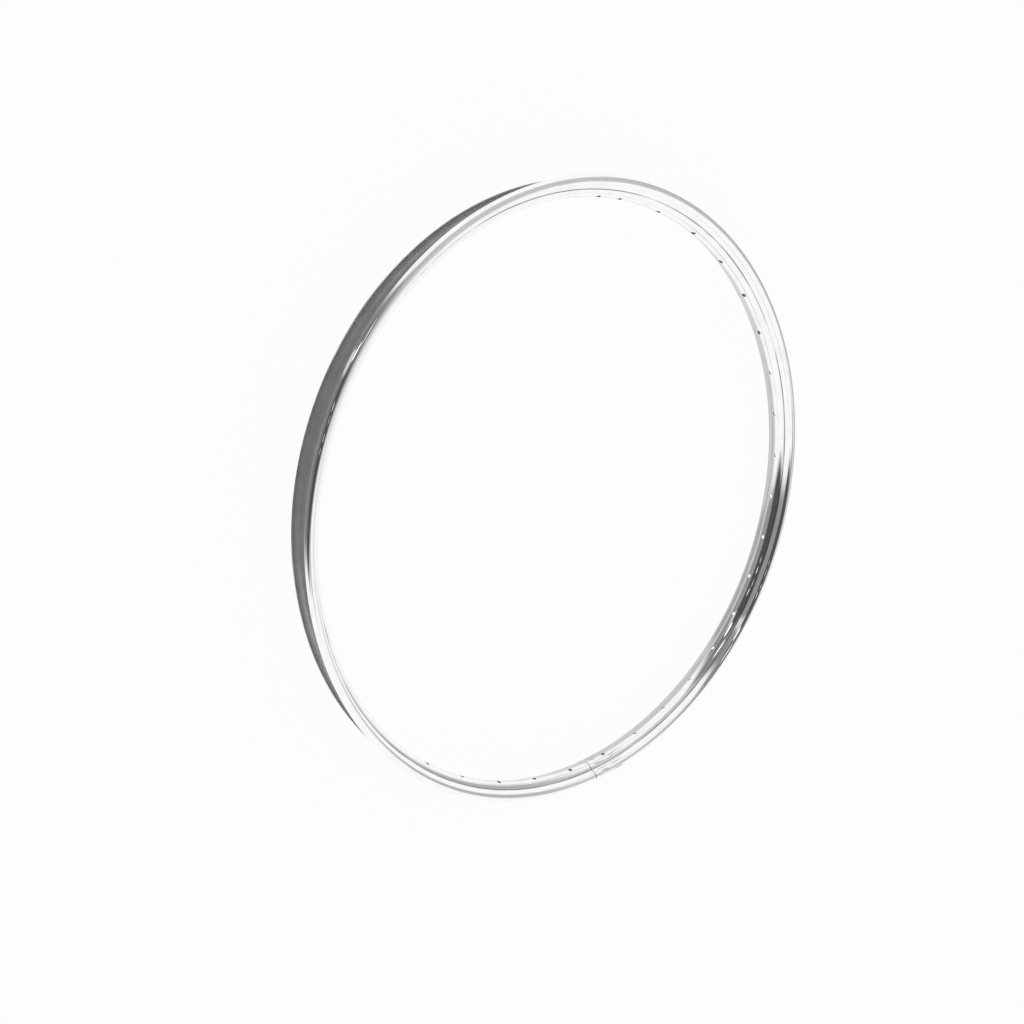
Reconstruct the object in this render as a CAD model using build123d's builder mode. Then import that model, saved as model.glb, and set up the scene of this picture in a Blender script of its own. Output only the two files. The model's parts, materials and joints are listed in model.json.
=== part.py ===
"""Chromed steel bicycle rim: one rolled strip, butt-joined into a hoop that lies flat, with its axis along +Z.

The origin is the centre of the hoop. The valve hole is at +Y, and the joint of the strip is opposite, at -Y.
"""
import os
from math import acos, atan2, cos, degrees, radians, sin

from build123d import *

os.makedirs("parts", exist_ok=True)

# The strip and the hoop it is rolled into, in millimetres and degrees
sheet = 1.2
bead_seat_diameter = 590.0
overall_width = 34.2

# The well along the middle of the section, which bulges towards the hub, with a flat ridge for the spokes
well_width = 16.5
well_depth = 4.95
ridge_width = 7.0

# The edges, rolled round outside the beads of the tyre, with the cut edge of the strip turned to the channel
edge_radius = 5.0
edge_height = 10.3
edge_tail = 2.0
edge_facings = (50.0, 90.0, 130.0)

# The radial holes, with the spoke holes set by turns to one side and the other of the ridge
spoke_count = 36
spoke_hole = 4.6
spoke_stagger = 0.7
valve_hole = 6.5
valve_angle = 90.0

# The outer skin from the ridge to the rolled edge, as (radius, height) on the upper half of the section
seat_radius = bead_seat_diameter / 2
rim_radius = seat_radius + edge_height
crease_radius = seat_radius - sheet
ridge_radius = crease_radius - well_depth
ridge_middle = Vector(ridge_radius, 0)
ridge_edge = Vector(ridge_radius, ridge_width / 2)
crease = Vector(crease_radius, well_width / 2)
edge_centre = Vector(rim_radius - edge_radius, overall_width / 2 - edge_radius)

# The shoulder under the bead of the tyre runs from the crease at a tangent to the rolled edge
crease_to_centre = edge_centre - crease
shoulder_slope = acos(edge_radius / crease_to_centre.length) - atan2(crease_to_centre.Y, crease_to_centre.X)
shoulder_taper = degrees(shoulder_slope)

# A punch runs from inside the ridge into the open channel of the section
punch_length = 2 * (well_depth + sheet)
spoke_pitch = 360 / spoke_count


def facing(angle):
    """Unit normal of the outer skin, turned by an angle from the hub towards the side."""
    return Vector(-cos(radians(angle)), sin(radians(angle)))


def into_sheet(start, end):
    """Unit normal of a straight run of the skin, pointing through the sheet to the tyre's side."""
    along = (end - start).normalized()
    return Vector(along.Y, -along.X)


def mitre(before, corner, after, depth):
    """Where a corner of the skin comes to, at a depth into the sheet."""
    first = into_sheet(before, corner)
    second = into_sheet(corner, after)
    return corner + (first + second) * (depth / (1 + first.dot(second)))


def rolled_edge(depth):
    """The edge at a depth into the sheet, in straight runs round its centre, and then its straight tail."""
    radius = edge_radius - depth
    runs = (shoulder_taper, *edge_facings)
    corners = []
    for before, after in zip(runs, runs[1:]):
        reach = radius / cos(radians(after - before) / 2)
        corners.append(edge_centre + facing((before + after) / 2) * reach)
    last = facing(edge_facings[-1])
    return [*corners, edge_centre + last * radius + Vector(last.Y, -last.X) * edge_tail]


def half_line(depth):
    """Half of the section's line at a depth into the sheet, from the middle of the ridge to the cut edge."""
    shoulder_end = edge_centre + facing(shoulder_taper) * edge_radius
    return [
        ridge_middle + into_sheet(ridge_middle, ridge_edge) * depth,
        mitre(ridge_middle, ridge_edge, crease, depth),
        mitre(ridge_edge, crease, shoulder_end, depth),
        *rolled_edge(depth),
    ]


with BuildPart() as rim:
    with BuildSketch(Plane.XZ):
        with BuildLine():
            Polyline(*half_line(0), *reversed(half_line(sheet)))
            mirror(about=Plane.XZ)
        make_face()
    revolve(axis=Axis.Z)

    # Spoke holes, every other one above the middle of the ridge
    for turn, rise in ((0.5, spoke_stagger), (1.5, -spoke_stagger)):
        with Locations((0, 0, rise)):
            with PolarLocations(ridge_radius, spoke_count // 2, valve_angle - turn * spoke_pitch):
                Cylinder(spoke_hole / 2, punch_length, rotation=(0, 90, 0), mode=Mode.SUBTRACT)

    # Valve hole, halfway between two spoke holes
    with PolarLocations(ridge_radius, 1, valve_angle):
        Cylinder(valve_hole / 2, punch_length, rotation=(0, 90, 0), mode=Mode.SUBTRACT)

rim.part.label = "rim"
export_step(rim.part, "parts/rim.step")
print(f"ridge radius {ridge_radius:.2f} mm, {rim.part.bounding_box().size.X:.1f} mm across")
print(f"volume {rim.part.volume / 1000:.1f} cm3")
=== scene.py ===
# %% [markdown]
# # A chromed bicycle rim
#
# This lesson dresses one rolled steel hoop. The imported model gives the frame: the size of the hoop, the
# place of its holes and the seat of the tyre. Here the section gets its true round bends, the holes are
# punched by nodes, and the plate gets a finish that mirrors a white studio. Everything is in metres, in
# the frame of the model.

# %% Load the frame
import json
import math

import bmesh
import bpy
from mathutils import Matrix, Vector


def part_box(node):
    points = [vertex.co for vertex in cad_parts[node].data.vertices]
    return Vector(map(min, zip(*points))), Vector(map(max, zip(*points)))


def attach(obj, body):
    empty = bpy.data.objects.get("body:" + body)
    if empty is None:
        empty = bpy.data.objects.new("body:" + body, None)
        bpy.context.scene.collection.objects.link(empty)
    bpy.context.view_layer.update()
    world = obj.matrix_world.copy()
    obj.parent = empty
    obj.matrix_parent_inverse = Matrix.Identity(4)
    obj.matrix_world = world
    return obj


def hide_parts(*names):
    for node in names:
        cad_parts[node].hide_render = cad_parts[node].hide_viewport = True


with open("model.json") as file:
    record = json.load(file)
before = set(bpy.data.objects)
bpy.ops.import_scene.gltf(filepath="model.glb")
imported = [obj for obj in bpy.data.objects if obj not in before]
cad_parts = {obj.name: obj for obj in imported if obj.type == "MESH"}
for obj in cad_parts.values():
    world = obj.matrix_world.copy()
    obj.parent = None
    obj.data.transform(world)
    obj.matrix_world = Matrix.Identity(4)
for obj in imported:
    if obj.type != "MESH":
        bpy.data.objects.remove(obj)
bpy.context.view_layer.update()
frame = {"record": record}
scene = bpy.context.scene

# %% [markdown]
# ## What the frame already knows
#
# A rim is described by a handful of sizes. The box gives the radius over the lips and half of the
# width. The mounts give the sheet, the seat of the tyre, the ridge and the holes: the valve hole lies
# half a sheet outside the ridge, and the spoke holes are staggered about the middle. Reading them here
# keeps the dressed hoop on the model when these sizes change.

# %% Read the driving sizes
MM = 0.001
corner_low, corner_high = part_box("rim")
rim_radius = corner_high.x
half_width = corner_high.z
mounts = {mount["name"]: mount for mount in frame["record"]["mounts"]}
spoke_holes = [mount for name, mount in mounts.items() if name.startswith("spoke_hole")]
sheet = mounts["valve_hole"]["dims"]["length_mm"] * MM
seat_radius = mounts["tyre_seat"]["dims"]["r_mm"] * MM
ridge_radius = Vector(mounts["valve_hole"]["pos_m"]).length - sheet / 2
spoke_radius = spoke_holes[0]["dims"]["r_mm"] * MM
spoke_stagger = spoke_holes[0]["pos_m"][2]
valve_radius = mounts["valve_hole"]["dims"]["r_mm"] * MM
print(f"lip radius {rim_radius:.4f}, ridge radius {ridge_radius:.4f}, {len(spoke_holes)} spoke holes")

# %% [markdown]
# ## The section of the strip
#
# The strip is rolled from flat sheet, so its section is one line with a constant thickness. In the
# middle the well bulges towards the hub as an arc. A tight crease leads to the shoulder that carries
# the tyre's bead, and the shoulder runs at a tangent into the edge, which is rolled round, more tightly
# past its crest, until it faces outwards. Each round stretch keeps its centre through the thickness of
# the sheet, so one function draws both faces by a depth.

# %% Centres of the bends
QUARTER = math.pi / 2
well_bend = 9.0 * MM
well_width = 16.7 * MM
crease_bend = 0.9 * MM
crease_ease = 0.2 * MM
edge_bend = 5.0 * MM
edge_reach = 4.95 * MM
crest_flat = 0.7 * MM
curl_bend = 2.9 * MM
curl_turn = math.radians(144)
curl_tail = 1.9 * MM


def facing(angle):
    """Unit normal of the show face, turned by an angle from the hub towards the side, as (radius, height)."""
    return Vector((-math.cos(angle), math.sin(angle)))


crease = Vector((seat_radius - sheet + crease_ease, well_width / 2))
well_depth = crease.x - ridge_radius
well_centre = Vector((ridge_radius + well_bend, 0))
edge_centre = Vector((rim_radius - edge_reach, half_width - edge_bend))
curl_centre = edge_centre + Vector((crest_flat, edge_bend - curl_bend))
to_well = well_centre - crease
to_edge = edge_centre - crease
flank_tilt = math.atan2(-to_well.y, to_well.x) - math.acos(well_bend / to_well.length)
shoulder_tilt = math.acos(edge_bend / to_edge.length) - math.atan2(to_edge.y, to_edge.x)
print(f"the flank of the well is tilted by {math.degrees(flank_tilt):.1f} degrees")
print(f"the shoulder is tilted by {math.degrees(shoulder_tilt):.1f} degrees")

# %% The crease between well and shoulder
# The centre of the crease is on the hub's side, one bend away from both of the straight runs that meet there
setback = crease_bend * math.tan((flank_tilt - shoulder_tilt) / 2)
flank_end = crease - facing(flank_tilt + QUARTER) * setback
crease_centre = flank_end + facing(flank_tilt) * crease_bend
print(f"the crease starts {setback / MM:.2f} mm before the corner of its two runs")

# %% [markdown]
# ## Drawing both faces of the sheet
#
# A chrome mirror shows every fault of a mesh. Round stretches get several steps, and each flat run gets
# a second point close to its ends, because smooth shading would otherwise bend the whole run towards
# the next bend. The cut edge of the strip is rounded over half of the sheet on each side.

# %% Points of the section
WELL_STEPS = 9
CREASE_STEPS = 4
EDGE_STEPS = 9
CURL_STEPS = 7
LIP_STEPS = 6
HOLD = 0.25 * MM


def arc(centre, reach, first, last, steps):
    """Points of a round stretch between two facings; a centre on the hub's side has a reach below zero."""
    return [centre + facing(first + (last - first) * step / steps) * reach for step in range(steps + 1)]


def held(first, last):
    """Two more points on a flat run, one beside each end."""
    step = (last - first).normalized() * HOLD
    return [first + step, last - step]


def face_line(depth):
    """Half of one face of the sheet, from the middle of the well to the cut edge."""
    well = arc(well_centre, well_bend - depth, 0, flank_tilt, WELL_STEPS)
    fold = arc(crease_centre, -crease_bend - depth, flank_tilt, shoulder_tilt, CREASE_STEPS)
    edge = arc(edge_centre, edge_bend - depth, shoulder_tilt, QUARTER, EDGE_STEPS)
    curl = arc(curl_centre, curl_bend - depth, QUARTER, curl_turn, CURL_STEPS)
    tail = curl[-1] + facing(curl_turn + QUARTER) * curl_tail
    runs = held(well[-1], fold[0]), held(fold[-1], edge[0]), held(curl[-1], tail)
    return well + runs[0] + fold + runs[1] + edge + curl + runs[2] + [tail]


show_face = face_line(0)
tyre_face = face_line(sheet)
lip_centre = (show_face[-1] + tyre_face[-1]) / 2
lip_arc = arc(lip_centre, sheet / 2, curl_turn, curl_turn + math.pi, LIP_STEPS)[1:-1]
upper_half = show_face + lip_arc + tyre_face[::-1]
lower_half = [Vector((point.x, -point.y)) for point in upper_half[-2:0:-1]]
section = upper_half + lower_half
print(f"the section has {len(section)} points")

# %% The section as an outline to sweep
# The outline lies in its own plane, with X as the distance outside the ridge and Y as the height
outline_mesh = bpy.data.meshes.new("section_outline")
outline_points = [(point.x - ridge_radius, point.y, 0) for point in section]
outline_edges = [(index, (index + 1) % len(section)) for index in range(len(section))]
outline_mesh.from_pydata(outline_points, outline_edges, [])
on_tyre_side = outline_mesh.attributes.new("tyre_side", "FLOAT", "POINT")
first_inner = len(show_face) + len(lip_arc)
last_inner = len(section) - first_inner + 1
for index, value in enumerate(on_tyre_side.data):
    value.value = float(first_inner <= index < last_inner)
print("outline from", min(outline_points)[0], "to", max(outline_points)[0])

# %% [markdown]
# ## Small helpers for node trees
#
# Geometry trees and shader groups are both built here by the same few lines: make a tree with named
# sockets, place a node, and feed a socket with either a plain number or the output of another node.

# %% Helpers for node trees


def new_tree(name, kind, inputs, outputs):
    """An empty node tree with named sockets, and its two end nodes."""
    tree = bpy.data.node_groups.new(name, kind)
    for label, socket_type in inputs.items():
        tree.interface.new_socket(label, in_out="INPUT", socket_type=socket_type)
    for label, socket_type in outputs.items():
        tree.interface.new_socket(label, in_out="OUTPUT", socket_type=socket_type)
    return tree, tree.nodes.new("NodeGroupInput"), tree.nodes.new("NodeGroupOutput")


def feed(tree, socket, value):
    """Gives a socket the output of another node, or a plain value."""
    if isinstance(value, bpy.types.NodeSocket):
        tree.links.new(value, socket)
    else:
        socket.default_value = value


def place(tree, kind, settings=None, **inputs):
    """A new node with its settings, and its inputs fed by name; an underscore stands for a space."""
    made = tree.nodes.new(kind)
    for name, value in (settings or {}).items():
        setattr(made, name, value)
    for name, value in inputs.items():
        feed(tree, made.inputs[name.replace("_", " ")], value)
    return made


def sum_up(tree, operation, *values):
    """The result of one Math node."""
    made = tree.nodes.new("ShaderNodeMath")
    made.operation = operation
    for socket, value in zip(made.inputs, values):
        feed(tree, socket, value)
    return made.outputs[0]


def soft_step(tree, value, start, end):
    """Rises smoothly from 0 at the start to 1 at the end."""
    rise = place(tree, "ShaderNodeMapRange", {"interpolation_type": "SMOOTHSTEP"}, Value=value,
                 From_Min=start, From_Max=end)
    return rise.outputs[0]


def blended(tree, share, first, second):
    """A level between two levels."""
    mix = place(tree, "ShaderNodeMix", {"data_type": "FLOAT"})
    for socket, value in zip((mix.inputs[0], mix.inputs[2], mix.inputs[3]), (share, first, second)):
        feed(tree, socket, value)
    return mix.outputs[0]


def product(tree, *values):
    """All the values multiplied by each other."""
    result = values[0]
    for value in values[1:]:
        result = sum_up(tree, "MULTIPLY", result, value)
    return result


def scaled(tree, vector, factor):
    """A vector times a number."""
    return place(tree, "ShaderNodeVectorMath", {"operation": "SCALE"}, Vector=vector, Scale=factor).outputs[0]


def levelled(tree, vector):
    """A place or a direction without its height."""
    flat = place(tree, "ShaderNodeVectorMath", {"operation": "MULTIPLY"})
    feed(tree, flat.inputs[0], vector)
    feed(tree, flat.inputs[1], (1.0, 1.0, 0.0))
    return flat.outputs[0]


def length(tree, vector):
    """The length of a vector."""
    return place(tree, "ShaderNodeVectorMath", {"operation": "LENGTH"}, Vector=vector).outputs["Value"]


def noise(tree, where, scale, detail, roughness):
    """The level of a noise at a place."""
    texture = place(tree, "ShaderNodeTexNoise", Vector=where, Scale=scale, Detail=detail, Roughness=roughness)
    return texture.outputs["Fac"]


def shared_effect(tree, group, values):
    """The outputs of a shared node group, with its inputs set by name."""
    made = place(tree, "ShaderNodeGroup", {"node_tree": group})
    for label, value in values.items():
        made.inputs[label].default_value = value
    return made.outputs


print("helpers ready")

# %% [markdown]
# ## The finishes
#
# The show face is polished before it is plated, along the strip, so the chrome keeps very fine lines
# round the hoop and a slow waviness from the rolls. The tyre's side is never polished, so it is a dull
# grey. The walls of the punched holes are the third finish, painted near black as painted shade for the
# dark inside of the holes. All three share two effects, so the effects are node groups: the lines of
# the rolled strip, and the places where the plate is darker. These are the crease, with a thin line of
# painted shade, the joint of the two ends, and the strokes of the file beside the joint.

# %% The lines and waves of a rolled strip
# Scales are in turns per metre
ALONG_SCALE = 9.0
WAVE_SCALE = 26.0
PATCH_SCALE = 60.0
PATCH_RANGE = (0.42, 0.72)


def rolled_strip_group():
    """Heights of the polishing lines and slow waves, and a mask of dull patches, over Object coordinates."""
    tree, given, result = new_tree(
        "rolled_strip",
        "ShaderNodeTree",
        {"Line Scale": "NodeSocketFloat", "Line Height": "NodeSocketFloat", "Wave Height": "NodeSocketFloat"},
        {"Height": "NodeSocketFloat", "Patches": "NodeSocketFloat"},
    )
    where = place(tree, "ShaderNodeTexCoord").outputs["Object"]
    height = place(tree, "ShaderNodeSeparateXYZ", Vector=where).outputs["Z"]
    radius = length(tree, levelled(tree, where))
    # Across the strip the pattern is fine, and along it the pattern changes slowly
    across = place(tree, "ShaderNodeCombineXYZ", X=radius, Y=height).outputs[0]
    both = place(tree, "ShaderNodeVectorMath", {"operation": "ADD"})
    feed(tree, both.inputs[0], scaled(tree, across, given.outputs["Line Scale"]))
    feed(tree, both.inputs[1], scaled(tree, where, ALONG_SCALE))
    lines = noise(tree, both.outputs[0], 1.0, 3.0, 0.6)
    waves = noise(tree, where, WAVE_SCALE, 1.0, 0.4)
    patches = noise(tree, where, PATCH_SCALE, 4.0, 0.55)
    line_part = sum_up(tree, "MULTIPLY", lines, given.outputs["Line Height"])
    wave_part = sum_up(tree, "MULTIPLY", waves, given.outputs["Wave Height"])
    feed(tree, result.inputs["Height"], sum_up(tree, "ADD", line_part, wave_part))
    feed(tree, result.inputs["Patches"], soft_step(tree, patches, *PATCH_RANGE))
    return tree


rolled_strip = rolled_strip_group()
print("shared effect:", rolled_strip.name, "with", len(rolled_strip.nodes), "nodes")

# %% The darker places of the plate: painted shade in the crease, and the joint with its strokes
# Each pair is where an effect starts and where it is full
CREASE_SHADE_SCALE = 22.0
CREASE_SHADE_RANGE = (0.15, 0.6)
CREASE_SHADE_REACH = (1.0 * MM, 0.3 * MM)
SEAM_REACH = (0.6, 0.3)
STROKE_SCALES = (45.0, 700.0)
STROKE_RANGE = (0.56, 0.66)
STROKE_START = (2 * MM, 10 * MM)
STROKE_END = (55 * MM, 30 * MM)
STROKE_SHARE = 0.75


def crease_shade_and_joint_group():
    """Painted shade in the crease, and the darker joint with its file strokes, as two masks."""
    tree, given, result = new_tree(
        "crease_shade_and_joint",
        "ShaderNodeTree",
        {"Crease Radius": "NodeSocketFloat", "Crease Height": "NodeSocketFloat",
         "Joint Width": "NodeSocketFloat"},
        {"Crease": "NodeSocketFloat", "Joint": "NodeSocketFloat"},
    )
    where = place(tree, "ShaderNodeTexCoord").outputs["Object"]
    axes = place(tree, "ShaderNodeSeparateXYZ", Vector=where).outputs
    radius = length(tree, levelled(tree, where))
    height = sum_up(tree, "ABSOLUTE", axes["Z"])
    off_crease = place(
        tree, "ShaderNodeCombineXYZ",
        X=sum_up(tree, "SUBTRACT", radius, given.outputs["Crease Radius"]),
        Y=sum_up(tree, "SUBTRACT", height, given.outputs["Crease Height"]),
    )
    # Painted shade: a thin dark line along the crease, broken up by noise
    near_crease = soft_step(tree, length(tree, off_crease.outputs[0]), *CREASE_SHADE_REACH)
    shade_patchiness = soft_step(tree, noise(tree, where, CREASE_SHADE_SCALE, 2.0, 0.5), *CREASE_SHADE_RANGE)
    feed(tree, result.inputs["Crease"], product(tree, near_crease, shade_patchiness))

    # The joint is at -Y, and the file strokes run along the strip on one side of it
    joint_side = sum_up(tree, "LESS_THAN", axes["Y"], 0.0)
    off_joint = sum_up(tree, "DIVIDE", sum_up(tree, "ABSOLUTE", axes["X"]), given.outputs["Joint Width"])
    seam = soft_step(tree, off_joint, *SEAM_REACH)
    along_scale, across_scale = STROKE_SCALES
    stretched = place(
        tree, "ShaderNodeCombineXYZ",
        X=sum_up(tree, "MULTIPLY", axes["X"], along_scale),
        Y=sum_up(tree, "MULTIPLY", radius, across_scale),
        Z=sum_up(tree, "MULTIPLY", axes["Z"], across_scale),
    )
    scratch = noise(tree, stretched.outputs[0], 1.0, 1.0, 0.5)
    start = soft_step(tree, axes["X"], *STROKE_START)
    end = soft_step(tree, axes["X"], *STROKE_END)
    strokes = product(tree, soft_step(tree, scratch, *STROKE_RANGE), start, end, STROKE_SHARE)
    feed(tree, result.inputs["Joint"], product(tree, sum_up(tree, "MAXIMUM", seam, strokes), joint_side))
    return tree


crease_shade_and_joint = crease_shade_and_joint_group()
print("shared effect:", crease_shade_and_joint.name, "with", len(crease_shade_and_joint.nodes), "nodes")

# %% The three plated finishes
CREASE_SHADE_STRENGTH = 0.7
JOINT_LOSS = 0.65
joint_width = 1.1 * MM


def plated(name, metal, clean, dull, smooth, rough, line_scale, line_height, wave_height):
    """A plated surface: two greys and two roughnesses mixed by patches, with lines and waves as bump."""
    material = bpy.data.materials.new(name)
    material.use_nodes = True
    tree = material.node_tree
    shader = tree.nodes["Principled BSDF"]
    shader.inputs["Metallic"].default_value = metal
    strip = shared_effect(tree, rolled_strip, {
        "Line Scale": line_scale, "Line Height": line_height, "Wave Height": wave_height,
    })
    darkening = shared_effect(tree, crease_shade_and_joint, {
        "Crease Radius": crease.x, "Crease Height": crease.y, "Joint Width": joint_width,
    })
    colour = place(tree, "ShaderNodeMix", {"data_type": "RGBA"})
    feed(tree, colour.inputs["Factor"], strip["Patches"])
    feed(tree, colour.inputs[6], (*clean, 1))
    feed(tree, colour.inputs[7], (*dull, 1))
    # Painted shade darkens the crease; the joint and its file strokes are darker marks of their own
    crease_kept = sum_up(tree, "SUBTRACT", 1.0, product(tree, darkening["Crease"], CREASE_SHADE_STRENGTH))
    joint_kept = sum_up(tree, "SUBTRACT", 1.0, product(tree, darkening["Joint"], JOINT_LOSS))
    shaded = scaled(tree, colour.outputs[2], product(tree, crease_kept, joint_kept))
    feed(tree, shader.inputs["Base Color"], shaded)
    gloss = place(tree, "ShaderNodeMapRange", Value=strip["Patches"], To_Min=smooth, To_Max=rough)
    feed(tree, shader.inputs["Roughness"], gloss.outputs[0])
    bump = place(tree, "ShaderNodeBump", Strength=1.0, Distance=MM, Height=strip["Height"])
    feed(tree, shader.inputs["Normal"], bump.outputs["Normal"])
    return material


chrome = plated(
    "chrome_show_face", metal=1.0, clean=(0.95, 0.95, 0.955), dull=(0.9, 0.9, 0.905),
    smooth=0.035, rough=0.09, line_scale=2600.0, line_height=0.0012, wave_height=0.06,
)
channel = plated(
    "dull_tyre_side", metal=0.35, clean=(0.62, 0.62, 0.625), dull=(0.56, 0.56, 0.56),
    smooth=0.4, rough=0.5, line_scale=1500.0, line_height=0.002, wave_height=0.06,
)
# Hole walls: a punched steel edge painted near black, as painted shade for the dark inside of the holes
punched = plated(
    "punched_edge_painted_shade", metal=0.8, clean=(0.1, 0.1, 0.1), dull=(0.06, 0.06, 0.06),
    smooth=0.35, rough=0.5, line_scale=2600.0, line_height=0.004, wave_height=0.05,
)
print("finishes:", [material.name for material in (chrome, channel, punched)])

# %% [markdown]
# ## Rolling the strip into a hoop
#
# The hoop follows a rule: one section, swept round a circle. A Geometry Nodes tree does it, with the
# circle's radius and the number of stations as inputs. The two ends of the strip meet at a butt joint,
# which shows as a hair line across the section. To have room for so fine a line, the stations crowd
# together at the joint, at -Y, and are widest apart on the far side.

# %% A tree that rolls the hoop


def hoop_tree():
    """Sweeps the outline round a circle, with a fine groove at the joint, and gives each face its finish."""
    tree, given, result = new_tree(
        "rolled_hoop",
        "GeometryNodeTree",
        {"Outline": "NodeSocketGeometry", "Radius": "NodeSocketFloat", "Stations": "NodeSocketInt",
         "Crowding": "NodeSocketFloat", "Joint Width": "NodeSocketFloat", "Joint Depth": "NodeSocketFloat"},
        {"Hoop": "NodeSocketGeometry"},
    )
    size = given.outputs
    circle = place(tree, "GeometryNodeCurvePrimitiveCircle", Resolution=size["Stations"])
    index = place(tree, "GeometryNodeInputIndex").outputs[0]
    even = sum_up(tree, "MULTIPLY", index, sum_up(tree, "DIVIDE", math.tau, size["Stations"]))
    crowd = sum_up(tree, "MULTIPLY", sum_up(tree, "SINE", even), size["Crowding"])
    angle = sum_up(tree, "SUBTRACT", sum_up(tree, "SUBTRACT", even, crowd), QUARTER)
    station = place(
        tree, "ShaderNodeCombineXYZ",
        X=sum_up(tree, "MULTIPLY", sum_up(tree, "COSINE", angle), size["Radius"]),
        Y=sum_up(tree, "MULTIPLY", sum_up(tree, "SINE", angle), size["Radius"]),
    )
    path = place(tree, "GeometryNodeSetPosition", Geometry=circle.outputs["Curve"],
                 Position=station.outputs[0])
    profile = place(tree, "GeometryNodeMeshToCurve", Mesh=size["Outline"])
    inside_out = place(tree, "GeometryNodeCurveToMesh", Curve=path.outputs[0],
                       Profile_Curve=profile.outputs[0])
    swept = place(tree, "GeometryNodeFlipFaces", Mesh=inside_out.outputs[0])
    # The groove of the joint is a shallow V, which only reaches the side where the ends of the strip meet
    axes = place(tree, "ShaderNodeSeparateXYZ", Vector=place(tree, "GeometryNodeInputPosition").outputs[0])
    off_joint = sum_up(tree, "DIVIDE", sum_up(tree, "ABSOLUTE", axes.outputs["X"]), size["Joint Width"])
    slope = sum_up(tree, "MULTIPLY", off_joint, 2.0)
    valley = sum_up(tree, "MAXIMUM", sum_up(tree, "SUBTRACT", 1.0, slope), 0.0)
    this_side = sum_up(tree, "LESS_THAN", axes.outputs["Y"], 0.0)
    depth = product(tree, valley, this_side, size["Joint Depth"])
    outwards = place(tree, "GeometryNodeInputNormal").outputs[0]
    inwards = scaled(tree, outwards, sum_up(tree, "MULTIPLY", depth, -1.0))
    grooved = place(tree, "GeometryNodeSetPosition", Geometry=swept.outputs[0], Offset=inwards)
    shown = place(tree, "GeometryNodeSetMaterial", Geometry=grooved.outputs[0], Material=chrome)
    inner = place(tree, "GeometryNodeInputNamedAttribute", {"data_type": "FLOAT"}, Name="tyre_side")
    inner_face = sum_up(tree, "GREATER_THAN", inner.outputs["Attribute"], 0.99)
    dulled = place(tree, "GeometryNodeSetMaterial", Geometry=shown.outputs[0], Selection=inner_face,
                   Material=channel)
    feed(tree, result.inputs["Hoop"], dulled.outputs[0])
    return tree


def set_inputs(modifier, tree, values):
    """Sets a modifier's inputs by the identifiers of the tree's sockets."""
    for item in tree.interface.items_tree:
        if item.in_out == "INPUT" and item.name in values:
            modifier[item.identifier] = values[item.name]


rim = bpy.data.objects.new("rim_hoop", outline_mesh)
scene.collection.objects.link(rim)
rolling = rim.modifiers.new("rolled_hoop", "NODES")
rolling.node_group = hoop_tree()
hoop_sizes = {"Radius": ridge_radius, "Stations": 540, "Crowding": 0.94,
              "Joint Width": joint_width, "Joint Depth": 0.25 * MM}
set_inputs(rolling, rolling.node_group, hoop_sizes)
print("hoop tree with", len(rolling.node_group.nodes), "nodes")

# %% [markdown]
# ## Punching the holes
#
# The spoke holes repeat, so a second tree places one punch for each of them and cuts them all at once.
# The punches stand on a circle of points, turned by half a pitch so that the valve hole at +Y comes
# midway between two spokes. Every other punch is shifted along the axle, because spokes pull by turns
# to the two flanges of the hub. The walls that a boolean leaves take the near-black material of the
# punch, which is painted shade for the dark inside of the holes.

# %% A tree that punches the holes
SPOKE_PUNCH_SIDES = 40
VALVE_PUNCH_SIDES = 48


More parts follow.
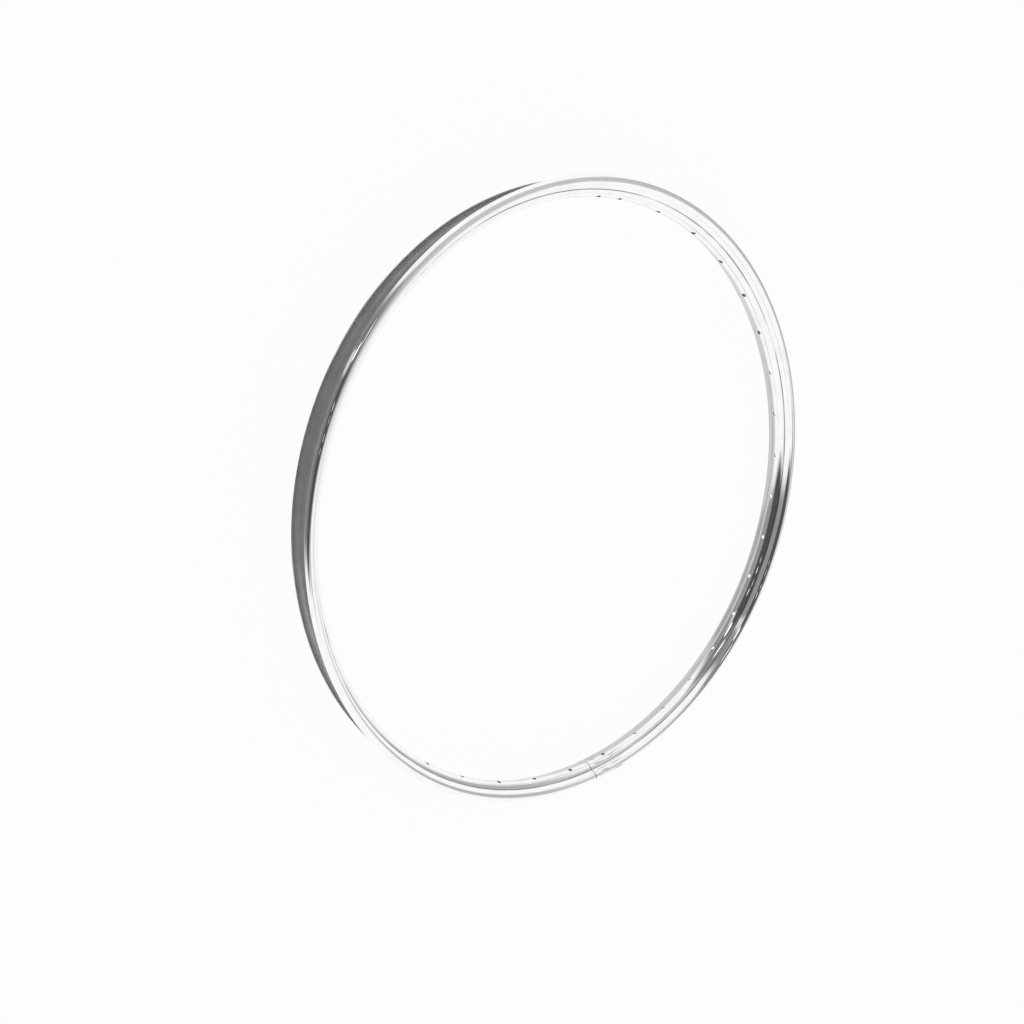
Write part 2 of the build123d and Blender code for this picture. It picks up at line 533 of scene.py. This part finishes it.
def punch_tree():
    """Cuts a ring of staggered spoke holes and one valve hole through the ridge."""
    tree, given, result = new_tree(
        "punched_holes",
        "GeometryNodeTree",
        {"Hoop": "NodeSocketGeometry", "Radius": "NodeSocketFloat", "Spokes": "NodeSocketInt",
         "Stagger": "NodeSocketFloat", "Spoke Hole": "NodeSocketFloat", "Valve Hole": "NodeSocketFloat",
         "Length": "NodeSocketFloat"},
        {"Rim": "NodeSocketGeometry"},
    )
    size = given.outputs
    ring = place(tree, "GeometryNodeMeshCircle", Vertices=size["Spokes"], Radius=size["Radius"])
    half_pitch = sum_up(tree, "DIVIDE", math.pi, size["Spokes"])
    turn = place(tree, "ShaderNodeCombineXYZ", Z=half_pitch)
    turned = place(tree, "GeometryNodeTransform", Geometry=ring.outputs[0], Rotation=turn.outputs[0])
    odd = sum_up(tree, "MODULO", place(tree, "GeometryNodeInputIndex").outputs[0], 2.0)
    side = sum_up(tree, "SUBTRACT", 1.0, sum_up(tree, "MULTIPLY", odd, 2.0))
    rise = place(tree, "ShaderNodeCombineXYZ", Z=sum_up(tree, "MULTIPLY", side, size["Stagger"]))
    staggered = place(tree, "GeometryNodeSetPosition", Geometry=turned.outputs[0], Offset=rise.outputs[0])
    outwards = levelled(tree, place(tree, "GeometryNodeInputPosition").outputs[0])
    aim = place(tree, "FunctionNodeAlignRotationToVector", {"axis": "Z"}, Vector=outwards)
    punch = place(tree, "GeometryNodeMeshCylinder", Vertices=SPOKE_PUNCH_SIDES, Radius=size["Spoke Hole"],
                  Depth=size["Length"])
    punches = place(tree, "GeometryNodeInstanceOnPoints", Points=staggered.outputs[0],
                    Instance=punch.outputs["Mesh"], Rotation=aim.outputs[0])
    valve = place(tree, "GeometryNodeMeshCylinder", Vertices=VALVE_PUNCH_SIDES, Radius=size["Valve Hole"],
                  Depth=size["Length"])
    valve_place = place(tree, "ShaderNodeCombineXYZ", Y=size["Radius"])
    valve_punch = place(tree, "GeometryNodeTransform", Geometry=valve.outputs["Mesh"],
                        Translation=valve_place.outputs[0], Rotation=(QUARTER, 0.0, 0.0))
    tools = place(tree, "GeometryNodeJoinGeometry")
    feed(tree, tools.inputs[0], punches.outputs[0])
    feed(tree, tools.inputs[0], valve_punch.outputs[0])
    solid_tools = place(tree, "GeometryNodeRealizeInstances", Geometry=tools.outputs[0])
    # The punches carry the near-black wall material, painted shade for the inside of the holes
    dark_walled_tools = place(tree, "GeometryNodeSetMaterial", Geometry=solid_tools.outputs[0], Material=punched)
    cut = place(tree, "GeometryNodeMeshBoolean", {"operation": "DIFFERENCE", "solver": "MANIFOLD"},
                Mesh_1=size["Hoop"], Mesh_2=dark_walled_tools.outputs[0])
    feed(tree, result.inputs["Rim"], cut.outputs["Mesh"])
    return tree


punching = rim.modifiers.new("punched_holes", "NODES")
punching.node_group = punch_tree()
hole_sizes = {"Radius": ridge_radius, "Spokes": len(spoke_holes), "Stagger": spoke_stagger,
              "Spoke Hole": spoke_radius, "Valve Hole": valve_radius, "Length": 2 * (well_depth + sheet)}
set_inputs(punching, punching.node_group, hole_sizes)
print("punch tree with", len(punching.node_group.nodes), "nodes")

# %% [markdown]
# ## A plain mesh that stands for the model's rim
#
# The trees are now evaluated once and kept as a plain mesh. Doubles are merged, the faces are turned
# outwards, and the edges of the holes are marked sharp, so that the smooth shading of the well stops
# cleanly at each hole.

# %% From trees to a plain mesh
SHARP = math.radians(40)
WELD = 0.001 * MM
evaluated = rim.evaluated_get(bpy.context.evaluated_depsgraph_get())
rim_mesh = bpy.data.meshes.new_from_object(evaluated)
rim_mesh.name = "rim_hoop"
rim.modifiers.clear()
rim.data = rim_mesh
work = bmesh.new()
work.from_mesh(rim_mesh)
bmesh.ops.remove_doubles(work, verts=work.verts, dist=WELD)
bmesh.ops.recalc_face_normals(work, faces=work.faces)
for face in work.faces:
    face.smooth = True
for edge in work.edges:
    edge.smooth = edge.calc_face_angle(0.0) < SHARP
open_edges = sum(not edge.is_manifold for edge in work.edges)
work.to_mesh(rim_mesh)
work.free()
triangles = sum(len(polygon.vertices) - 2 for polygon in rim_mesh.polygons)
print(f"rim: {len(rim_mesh.vertices)} points, {triangles} triangles, {open_edges} open edges")
print("finishes on it:", [material.name for material in rim_mesh.materials])

# %% Hand the piece to the frame
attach(rim, "root")
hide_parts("rim")
print("the hoop rides on root and stands for the model's rim")

# %% [markdown]
# ## The camera
#
# The hoop was photographed from close by with a wide lens, so the circle is no plain ellipse: the near
# side is larger than the far side. The camera's place, its gaze and its lens come from the ellipse of
# the ridge and from the even pitch of the spoke holes. The picture was cropped off its middle, which
# the shift of the lens repeats.

# %% The camera
PICTURE = 1024
SENSOR_WIDTH = 36.0
NEAREST = 0.01
focal_pixels = 770.0
middle_pixel = (508.9, 599.5)
camera_place = Vector((-1.7109, 0.7733, 1.9484)) * ridge_radius
camera_gaze = Vector((0.5275, -0.3818, -0.7590)).normalized()
camera_up = Vector((0.2385, 0.9240, -0.2990))

camera_right = camera_gaze.cross(camera_up).normalized()
camera_turn = Matrix((camera_right, camera_right.cross(camera_gaze), -camera_gaze)).transposed()
camera = bpy.data.objects.new("camera", bpy.data.cameras.new("camera"))
camera.matrix_world = Matrix.Translation(camera_place) @ camera_turn.to_4x4()
camera.data.sensor_width = SENSOR_WIDTH
camera.data.lens = SENSOR_WIDTH * focal_pixels / PICTURE
camera.data.shift_x = 0.5 - middle_pixel[0] / PICTURE
camera.data.shift_y = middle_pixel[1] / PICTURE - 0.5
camera.data.clip_start = NEAREST
scene.collection.objects.link(camera)
scene.camera = camera
print(f"lens {camera.data.lens:.2f} mm at {camera_place.length:.3f} m from the middle of the hoop")

# %% [markdown]
# ## A white studio with a dark sector
#
# Chrome has no colour of its own, so its look is the look of the room. The room here is white round the
# hoop. Behind the camera there is a dark sector, which widens upwards until it meets a dark ceiling,
# and a few small lamps shine in it. The world shader draws all this from the direction of each ray, so
# that no panel can stand in the way of another view. The camera itself sees plain white.

# %% Directions and levels of the studio


def radians(*angles):
    """Angles in degrees, as radians."""
    return [math.radians(angle) for angle in angles]


# The dark sector is given by its turn from the camera, its half width and how that widens with the height
SECTOR_MIDDLE, SECTOR_HALF, SECTOR_SOFTNESS = radians(-3, 37, 7)
SECTOR_WIDENING = 0.38
SECTOR_FOOT = radians(-76, -52)
SECTOR_HEIGHTS = (-0.2, 0.42)
SECTOR_LEVELS = (0.31, 0.08)
HAZE_TURNS = radians(-24, -40)
HAZE_LEVEL = 0.25
CEILING_HEIGHTS = radians(58, 80)
CEILING_LEVEL = 0.15

# The room is greyer low down, on the far side, and high up on one side
LOW_HEIGHTS = radians(-34, -62)
LOW_LEVEL = 0.62
FAR_TURN = math.radians(-145)
FAR_REACH = (0.72, 0.99)
FAR_HEIGHTS = (0.0, 0.3)
FAR_LEVEL = 0.45
HIGH_SIDE = (0.1, -0.2)
HIGH_HEIGHTS = radians(25, 55)
HIGH_LEVEL = 0.58

# Small lamps: turn from the camera, height, half of the width and half of the height in degrees, and level
LAMP_EDGE = (1.4, 0.4)
LAMPS = (
    (7.0, 50.0, 1.2, 3.5, 1.0),
    (2.4, 52.0, 1.6, 3.5, 1.4),
    (-4.6, 60.0, 1.5, 3.5, 1.4),
    (-8.0, 47.0, 1.6, 4.0, 1.6),
    (-19.0, 6.0, 4.0, 16.0, 0.45),
    (-24.0, 29.0, 3.2, 10.0, 2.0),
    (-31.0, 41.0, 3.0, 8.0, 0.2),
    (-41.0, 58.0, 4.0, 7.0, 1.4),
)
print("lamps:", len(LAMPS))

# %% The studio as a world


def along(tree, ray, axis):
    """How far a ray points along an axis."""
    dot = place(tree, "ShaderNodeVectorMath", {"operation": "DOT_PRODUCT"})
    feed(tree, dot.inputs[0], ray)
    feed(tree, dot.inputs[1], axis)
    return dot.outputs["Value"]


def lamp_light(tree, turn, height, lamp):
    """The light of one small lamp, a soft ellipse in turn and height."""
    *angles, level = lamp
    lamp_turn, lamp_height, half_across, half_up = radians(*angles)
    across = sum_up(tree, "DIVIDE", sum_up(tree, "SUBTRACT", turn, lamp_turn), half_across)
    up = sum_up(tree, "DIVIDE", sum_up(tree, "SUBTRACT", height, lamp_height), half_up)
    off = sum_up(tree, "ADD", sum_up(tree, "MULTIPLY", across, across), sum_up(tree, "MULTIPLY", up, up))
    return sum_up(tree, "MULTIPLY", soft_step(tree, off, *LAMP_EDGE), level)


def studio_world():
    """White sides, a dark sector under a dark ceiling, small lamps, and plain white for the camera."""
    world = bpy.data.worlds.new("studio")
    world.use_nodes = True
    tree = world.node_tree
    ray = place(tree, "ShaderNodeTexCoord").outputs["Generated"]
    behind = Vector((camera_place.x, camera_place.y, 0)).normalized()
    aside = Vector((-behind.y, behind.x, 0))
    turn = sum_up(tree, "ARCTAN2", along(tree, ray, aside), along(tree, ray, behind))
    height = sum_up(tree, "ARCSINE", along(tree, ray, (0.0, 0.0, 1.0)))

    # The white room, greyer low down, on the far side and high up on one side
    low = soft_step(tree, height, *LOW_HEIGHTS)
    room = blended(tree, low, 1.0, LOW_LEVEL)
    off_far = sum_up(tree, "COSINE", sum_up(tree, "SUBTRACT", turn, FAR_TURN))
    far = product(tree, soft_step(tree, off_far, *FAR_REACH), soft_step(tree, height, *FAR_HEIGHTS))
    room = blended(tree, far, room, FAR_LEVEL)
    right_hand = soft_step(tree, along(tree, ray, aside), *HIGH_SIDE)
    high = product(tree, right_hand, soft_step(tree, height, *HIGH_HEIGHTS))
    room = blended(tree, high, room, HIGH_LEVEL)

    # The dark ceiling and the dark sector
    ceiling = soft_step(tree, height, *CEILING_HEIGHTS)
    room = blended(tree, ceiling, room, CEILING_LEVEL)
    off_middle = sum_up(tree, "ABSOLUTE", sum_up(tree, "SUBTRACT", turn, SECTOR_MIDDLE))
    above = sum_up(tree, "MAXIMUM", height, 0.0)
    half = sum_up(tree, "ADD", sum_up(tree, "MULTIPLY", above, SECTOR_WIDENING), SECTOR_HALF)
    past_edge = sum_up(tree, "SUBTRACT", off_middle, half)
    sector = soft_step(tree, past_edge, SECTOR_SOFTNESS, -SECTOR_SOFTNESS)
    sector = product(tree, sector, soft_step(tree, height, *SECTOR_FOOT))
    level = blended(tree, soft_step(tree, height, *SECTOR_HEIGHTS), *SECTOR_LEVELS)
    level = blended(tree, soft_step(tree, turn, *HAZE_TURNS), level, HAZE_LEVEL)
    room = blended(tree, sector, room, level)
    for lamp in LAMPS:
        room = sum_up(tree, "ADD", room, lamp_light(tree, turn, height, lamp))
    seen = place(tree, "ShaderNodeLightPath").outputs["Is Camera Ray"]
    feed(tree, tree.nodes["Background"].inputs["Color"], blended(tree, seen, room, 1.0))
    return world


scene.world = studio_world()
print("world:", scene.world.name, "with", len(scene.world.node_tree.nodes), "nodes")

# %% [markdown]
# ## The floor
#
# The hoop lies on a plain pale floor. The camera sees it as nearly white with a faint shadow of the
# hoop, and the chrome looks past it into the white room, as it would over a white sweep.

# %% The floor
FLOOR_HALF = 6.0
FLOOR_SHADE = 0.04
FLOOR_GREY = (0.9, 0.9, 0.9, 1)
FLOOR_ROUGHNESS = 0.9


def pale_floor():
    """A large white sheet at the height of the lower lip."""
    mesh = bpy.data.meshes.new("floor")
    sides = (-1, -1), (1, -1), (1, 1), (-1, 1)
    corners = [(x * FLOOR_HALF, y * FLOOR_HALF, corner_low.z) for x, y in sides]
    mesh.from_pydata(corners, [], [(0, 1, 2, 3)])
    material = bpy.data.materials.new("pale_floor")
    material.use_nodes = True
    tree = material.node_tree
    surface = tree.nodes["Principled BSDF"]
    surface.inputs["Base Color"].default_value = FLOOR_GREY
    surface.inputs["Roughness"].default_value = FLOOR_ROUGHNESS
    surface.inputs["Specular IOR Level"].default_value = 0.0
    white = place(tree, "ShaderNodeEmission", Strength=1.0)
    seen = place(tree, "ShaderNodeLightPath").outputs["Is Camera Ray"]
    mixed = place(tree, "ShaderNodeMixShader")
    feed(tree, mixed.inputs[0], sum_up(tree, "MULTIPLY", seen, 1 - FLOOR_SHADE))
    feed(tree, mixed.inputs[1], surface.outputs[0])
    feed(tree, mixed.inputs[2], white.outputs[0])
    feed(tree, tree.nodes["Material Output"].inputs["Surface"], mixed.outputs[0])
    mesh.materials.append(material)
    floor = bpy.data.objects.new("floor", mesh)
    scene.collection.objects.link(floor)
    floor.visible_glossy = False
    return floor


pale_floor()
scene.view_settings.view_transform = "Standard"
print(f"floor at {corner_low.z:.4f} m")
